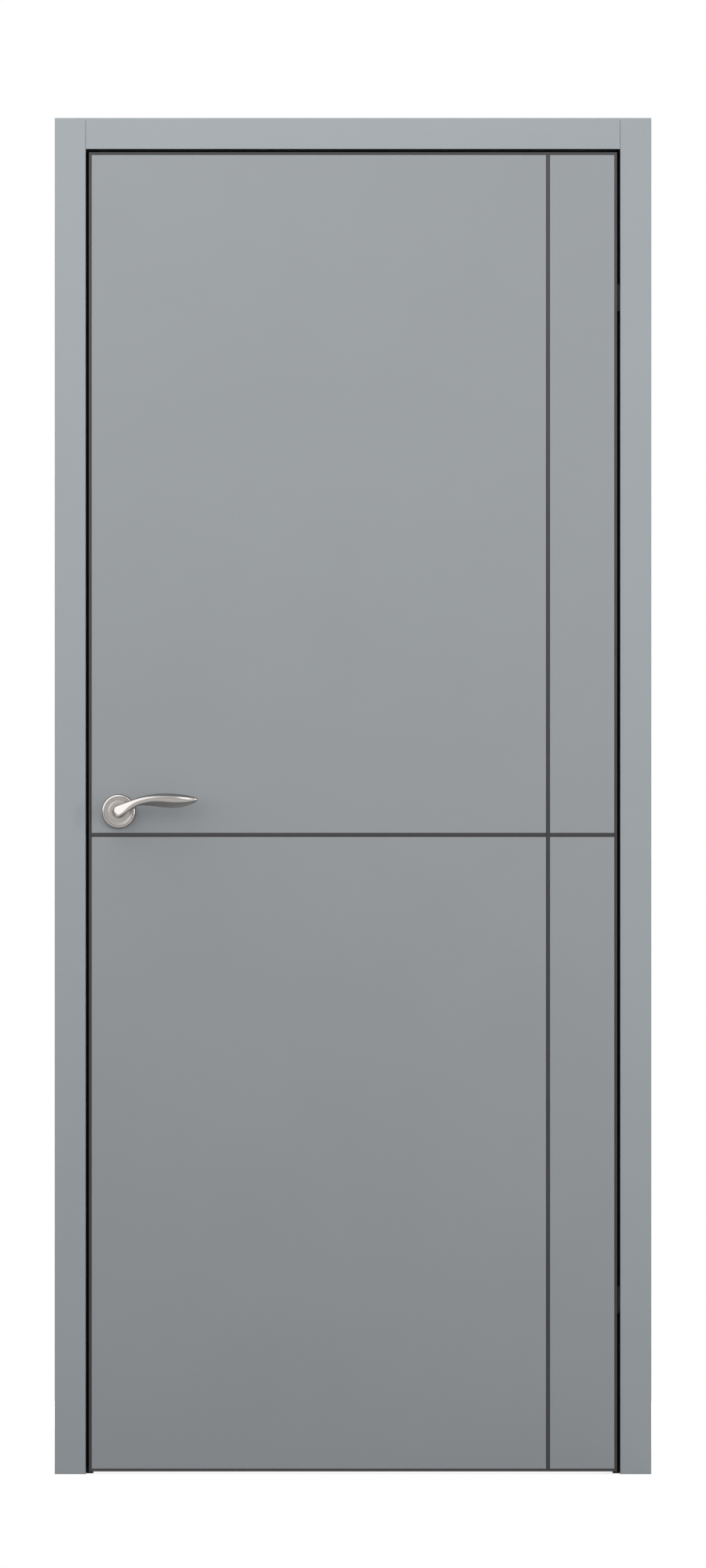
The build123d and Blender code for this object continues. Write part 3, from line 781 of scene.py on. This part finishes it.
def screw_head(diameter):
    """A countersunk head with a hexagon socket, its top at Z = 0 and facing +Z."""
    radius = diameter / 2
    shape = bmesh.new()
    rim = bmesh.ops.create_circle(shape, segments=HEAD_SIDES, radius=radius)["verts"]
    socket = bmesh.ops.create_circle(shape, segments=SOCKET_SIDES, radius=SOCKET_RADIUS * radius)["verts"]
    bmesh.ops.bridge_loops(shape, edges=shape.edges[:])
    cone = extrude_ring(shape, ring_order(rim))
    bmesh.ops.scale(shape, verts=cone, vec=(CONE_FOOT, CONE_FOOT, 1.0))
    bmesh.ops.translate(shape, verts=cone, vec=(0.0, 0.0, -CONE_DEPTH * radius))
    bmesh.ops.contextual_create(shape, geom=cone)
    floor = extrude_ring(shape, ring_order(socket))
    bmesh.ops.translate(shape, verts=floor, vec=(0.0, 0.0, -SOCKET_DEPTH * radius))
    bmesh.ops.contextual_create(shape, geom=floor)
    on_rim = set(rim)
    top_rim = [edge for edge in shape.edges if on_rim.issuperset(edge.verts)]
    soften(shape, top_rim, HEAD_ROUND * radius, "EDGES", EDGE_SEGMENTS)
    return shape


def joined_screws(places):
    """One mesh of several screw heads: each place is a diameter, a point and the way the head faces."""
    shape = bmesh.new()
    for diameter, point, facing in places:
        head = screw_head(diameter)
        turn = OUT.rotation_difference(Vector(facing)).to_matrix().to_4x4()
        bmesh.ops.transform(head, matrix=Matrix.Translation(point) @ turn, verts=head.verts)
        mesh = bpy.data.meshes.new("screw_head")
        head.to_mesh(mesh)
        head.free()
        shape.from_mesh(mesh)
        bpy.data.meshes.remove(mesh)
    return shape


def plate_screws(node, facing, sizes):
    """Two screws near the ends of an upright plate in an edge."""
    low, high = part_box(node)
    middle = (low + high) / 2
    face = high.x if facing > 0 else low.x
    for height in (low.z + sizes.plate_edge, high.z - sizes.plate_edge):
        point = (face + facing * sizes.proud, middle.y, height)
        yield sizes.plate_head, point, (facing, 0.0, 0.0)


def cup_screws(node, facing, sizes):
    """Two screws in the sinkings of a hinge cup's plate."""
    low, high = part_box(node)
    face = high.x if facing > 0 else low.x
    across = high.y - sizes.hinge_plate / 2
    middle = (low.z + high.z) / 2
    for step in (-0.5, 0.5):
        point = (face - facing * sizes.hinge_sunk, across, middle + step * sizes.hinge_spacing)
        yield sizes.hinge_head, point, (facing, 0.0, 0.0)


# Operators


class DoorOperator:
    """What the door's operators share."""

    bl_options = {"REGISTER"}

    def settings(self, context):
        return context.scene.interior_door


class DOOR_OT_finish_frame(DoorOperator, bpy.types.Operator):
    """Enamels the jambs and casings, and gives the seals their rubber"""

    bl_idname = "interior_door.finish_frame"
    bl_label = "Finish frame"

    def execute(self, context):
        colours = self.settings(context).colours
        # The frame colour holds painted light: it is lighter than the leaf's enamel, to stand for brighter
        # light on the casings.
        jambs = matt_enamel("matt_enamel_jambs", colours.frame, colours.sealed_board, jamb_wall_side)
        casings = matt_enamel("matt_enamel_casings", colours.frame, colours.sealed_board, casing_wall_side)
        finish_nodes(JAMB_NODES, jambs)
        finish_nodes(CASING_NODES, casings)
        finish_nodes(SEAL_NODES, seal_rubber(colours.rubber))
        return {"FINISHED"}


class DOOR_OT_finish_leaf(DoorOperator, bpy.types.Operator):
    """Enamels the panels, and gives the core and the aluminium profiles their finish"""

    bl_idname = "interior_door.finish_leaf"
    bl_label = "Finish leaf"

    def execute(self, context):
        colours = self.settings(context).colours
        # Real brush lines are about 0.3 mm apart: drawn coarser, so that they show.
        line_width = 1.2 * MM
        line_length = 160 * MM
        across = 1 / line_width
        along = 1 / line_length
        upright = black_anodised_aluminium(
            "black_anodised_uprights", colours.aluminium, (across, across, along)
        )
        cross = black_anodised_aluminium("black_anodised_cross", colours.aluminium, (along, across, across))
        finish_nodes(PANEL_NODES, matt_enamel("matt_enamel_leaf", colours.leaf))
        finish_nodes(UPRIGHT_PROFILES, upright)
        finish_nodes(CROSS_PROFILES, cross)
        finish_nodes(["leaf_core"], raw_fibreboard(colours.core_board))
        return {"FINISHED"}


class DOOR_OT_finish_hardware(DoorOperator, bpy.types.Operator):
    """Gives the hinges, plates and spindle their metals"""

    bl_idname = "interior_door.finish_hardware"
    bl_label = "Finish hardware"

    def execute(self, context):
        colours = self.settings(context).colours
        finish_nodes(HINGE_NODES, black_coated_zinc(colours.hinge))
        finish_nodes(PLATE_NODES, plated_zinc(colours.zinc))
        finish_nodes(["spindle"], bright_steel(colours.steel))
        return {"FINISHED"}


class DOOR_OT_make_lever_set(DoorOperator, bpy.types.Operator):
    """Models a lever, its rose and its set screw on each face of the leaf"""

    bl_idname = "interior_door.make_lever_set"
    bl_label = "Make lever set"

    def execute(self, context):
        settings = self.settings(context)
        nickel = satin_nickel(settings.colours.nickel)
        steel = bpy.data.materials["bright_steel"]
        for side in SIDES:
            place = onto_face(side)
            lever = lever_shape(settings.lever)
            bmesh.ops.transform(lever, matrix=place, verts=lever.verts)
            piece = new_piece(f"{side}_lever_cast", lever, [nickel], "handle")
            rounding = piece.modifiers.new("rounding", "SUBSURF")
            rounding.levels = LEVER_ROUNDING
            rounding.render_levels = LEVER_ROUNDING
            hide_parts(f"{side}_lever")
            rose = rose_shape(settings.lever)
            bmesh.ops.transform(rose, matrix=place, verts=rose.verts)
            piece = new_piece(f"{side}_rose_spun", rose, [nickel], "leaf")
            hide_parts(f"{side}_rose")
            below = (0.0, -settings.lever.neck_diameter / 2, settings.fastenings.set_screw_reach)
            point = place @ Vector(below)
            screw = joined_screws([(settings.fastenings.set_screw, point, (0.0, 0.0, -1.0))])
            new_piece(f"{side}_set_screw", screw, [steel], "handle")
        return {"FINISHED"}


class DOOR_OT_make_screws(DoorOperator, bpy.types.Operator):
    """Models the screws of the hinges, the latch and the strike"""

    bl_idname = "interior_door.make_screws"
    bl_label = "Make screws"

    def execute(self, context):
        sizes = self.settings(context).fastenings
        steel = bpy.data.materials["bright_steel"]
        on_frame = list(plate_screws("strike_plate", 1.0, sizes))
        on_leaf = list(plate_screws("latch_plate", -1.0, sizes))
        for hinge in HINGES:
            on_frame += cup_screws(f"{hinge}_hinge_jamb_cup", -1.0, sizes)
            on_leaf += cup_screws(f"{hinge}_hinge_leaf_cup", 1.0, sizes)
        new_piece("frame_screws", joined_screws(on_frame), [steel], "frame")
        new_piece("leaf_screws", joined_screws(on_leaf), [steel], "leaf")
        return {"FINISHED"}


class DOOR_OT_make_latch_bolt(DoorOperator, bpy.types.Operator):
    """Models the rounded latch bolt with a magnet in its face"""

    bl_idname = "interior_door.make_latch_bolt"
    bl_label = "Make latch bolt"

    def execute(self, context):
        settings = self.settings(context)
        low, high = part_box("latch_bolt")
        shape = bmesh.new()
        bmesh.ops.create_cube(shape, size=1.0)
        bmesh.ops.scale(shape, verts=shape.verts, vec=high - low)
        bmesh.ops.translate(shape, verts=shape.verts, vec=(low + high) / 2)
        soften(shape, shape.edges, settings.fastenings.bolt_round, "EDGES", EDGE_SEGMENTS)
        face = min(shape.faces, key=lambda part: part.calc_center_median().x)
        bmesh.ops.inset_individual(shape, faces=[face], thickness=settings.fastenings.magnet_margin)
        bmesh.ops.inset_individual(shape, faces=[face], thickness=MAGNET_SLOPE, depth=-MAGNET_DEPTH)
        face.material_index = 1
        metals = [bpy.data.materials["bright_steel"], ferrite(settings.colours.magnet)]
        piece = new_piece("latch_bolt_rounded", shape, metals, "leaf")
        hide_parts("latch_bolt")
        return {"FINISHED"}


class DOOR_OT_set_stage(DoorOperator, bpy.types.Operator):
    """Sets the floor, the soft lamps, the white surroundings and the camera"""

    bl_idname = "interior_door.set_stage"
    bl_label = "Set stage"

    def execute(self, context):
        stage = self.settings(context).stage
        scene = context.scene
        scene.view_settings.view_transform = "Standard"
        middle_x = (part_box("front_casing_latch")[0].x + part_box("front_casing_hinge")[1].x) / 2
        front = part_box("front_casing_head")[0].y
        floor_level = CAD_BOX[0].z
        self.lay_floor(scene, stage, Vector((middle_x, 0.0, floor_level)))
        self.light_world(scene, stage)
        powers = {
            "key": stage.key_power,
            "front": stage.front_power,
            "side": stage.side_power,
            "rear": stage.rear_power,
        }
        aim = Vector((middle_x, front, LAMP_AIM))
        for name, (place, size) in LAMPS.items():
            self.hang_lamp(scene, f"{name}_lamp", Vector(place), aim, size, powers[name])
        camera_place = (middle_x, front - stage.camera_distance, stage.picture_middle)
        self.set_camera(scene, stage, camera_place)
        return {"FINISHED"}

    def lay_floor(self, scene, stage, middle):
        """A pale floor that looks white where light falls on it and keeps the door's shadow."""
        half_size = stage.floor_size / 2
        shape = bmesh.new()
        bmesh.ops.create_grid(shape, x_segments=4, y_segments=4, size=half_size)
        bmesh.ops.translate(shape, verts=shape.verts, vec=middle)
        mesh = bpy.data.meshes.new("floor")
        shape.to_mesh(mesh)
        shape.free()
        material, tree, place = start_material("painted_floor")
        paint = add_node(tree, "ShaderNodeBsdfDiffuse", {"Color": opaque(stage.floor_colour)})
        away = add_node(tree, "ShaderNodeVectorMath", {0: place, 1: middle}, operation="DISTANCE")
        white = add_node(
            tree,
            "ShaderNodeMapRange",
            {
                "Value": away.outputs["Value"],
                "From Min": WHITE_FROM * half_size,
                "From Max": WHITE_TO * half_size,
                "To Min": stage.floor_glow,
                "To Max": 1.0,
            },
        )
        strength = add_node(
            tree,
            "ShaderNodeMath",
            {0: seen_rays(tree), 1: white.outputs["Result"]},
            operation="MULTIPLY",
        )
        glow = add_node(tree, "ShaderNodeEmission", {"Strength": strength.outputs[0]})
        both = add_node(tree, "ShaderNodeAddShader", {0: paint.outputs[0], 1: glow.outputs[0]})
        add_node(tree, "ShaderNodeOutputMaterial", {"Surface": both.outputs[0]})
        mesh.materials.append(material)
        floor = bpy.data.objects.new("floor", mesh)
        scene.collection.objects.link(floor)

    def light_world(self, scene, stage):
        """Soft light from all round, with a white surrounding for what the camera and the metal see."""
        world = bpy.data.worlds.new("studio")
        world.use_nodes = True
        tree = world.node_tree
        tree.nodes.clear()
        soft = add_node(tree, "ShaderNodeBackground", {"Color": WHITE, "Strength": stage.ambient})
        white = add_node(tree, "ShaderNodeBackground", {"Color": WHITE, "Strength": 1.0})
        mixed = add_node(
            tree, "ShaderNodeMixShader", {0: seen_rays(tree), 1: soft.outputs[0], 2: white.outputs[0]}
        )
        add_node(tree, "ShaderNodeOutputWorld", {"Surface": mixed.outputs[0]})
        scene.world = world

    def hang_lamp(self, scene, name, place, aim, size, power):
        """A rectangular soft lamp that faces a point on the door."""
        data = bpy.data.lights.new(name, "AREA")
        data.shape = "RECTANGLE"
        data.size, data.size_y = size
        data.energy = power
        lamp = bpy.data.objects.new(name, data)
        lamp.location = place
        lamp.rotation_euler = (aim - place).to_track_quat("-Z", "Y").to_euler()
        scene.collection.objects.link(lamp)

    def set_camera(self, scene, stage, place):
        """A camera far in front, level and square on, as in a product photograph."""
        data = bpy.data.cameras.new("camera")
        data.sensor_width = SENSOR_WIDTH
        # The picture is taller than wide, so the sensor's width spans its height.
        data.lens = data.sensor_width * stage.camera_distance / stage.picture_height
        camera = bpy.data.objects.new("camera", data)
        camera.location = place
        camera.rotation_euler = (math.pi / 2, 0.0, 0.0)
        scene.collection.objects.link(camera)
        scene.camera = camera


class VIEW3D_PT_interior_door(bpy.types.Panel):
    """Lists the door's steps and settings"""

    bl_label = "Interior Door"
    bl_idname = "VIEW3D_PT_interior_door"
    bl_space_type = "VIEW_3D"
    bl_region_type = "UI"
    bl_category = "Door"

    def draw(self, context):
        column = self.layout.column()
        for step in STEPS:
            column.operator(step.bl_idname)
        settings = context.scene.interior_door
        for group in (settings.colours, settings.lever, settings.fastenings, settings.stage):
            box = self.layout.box()
            for name in group.__annotations__:
                box.prop(group, name)


STEPS = (
    DOOR_OT_finish_frame,
    DOOR_OT_finish_leaf,
    DOOR_OT_finish_hardware,
    DOOR_OT_make_lever_set,
    DOOR_OT_make_screws,
    DOOR_OT_make_latch_bolt,
    DOOR_OT_set_stage,
)
CLASSES = (
    DoorColours,
    LeverSizes,
    FasteningSizes,
    StageSettings,
    DoorSettings,
    *STEPS,
    VIEW3D_PT_interior_door,
)


def register():
    for part in CLASSES:
        bpy.utils.register_class(part)
    bpy.types.Scene.interior_door = bpy.props.PointerProperty(type=DoorSettings)


def unregister():
    del bpy.types.Scene.interior_door
    for part in reversed(CLASSES):
        bpy.utils.unregister_class(part)


def main():
    register()
    bpy.ops.interior_door.finish_frame()
    bpy.ops.interior_door.finish_leaf()
    bpy.ops.interior_door.finish_hardware()
    bpy.ops.interior_door.make_lever_set()
    bpy.ops.interior_door.make_screws()
    bpy.ops.interior_door.make_latch_bolt()
    bpy.ops.interior_door.set_stage()


if __name__ == "__main__":
    main()
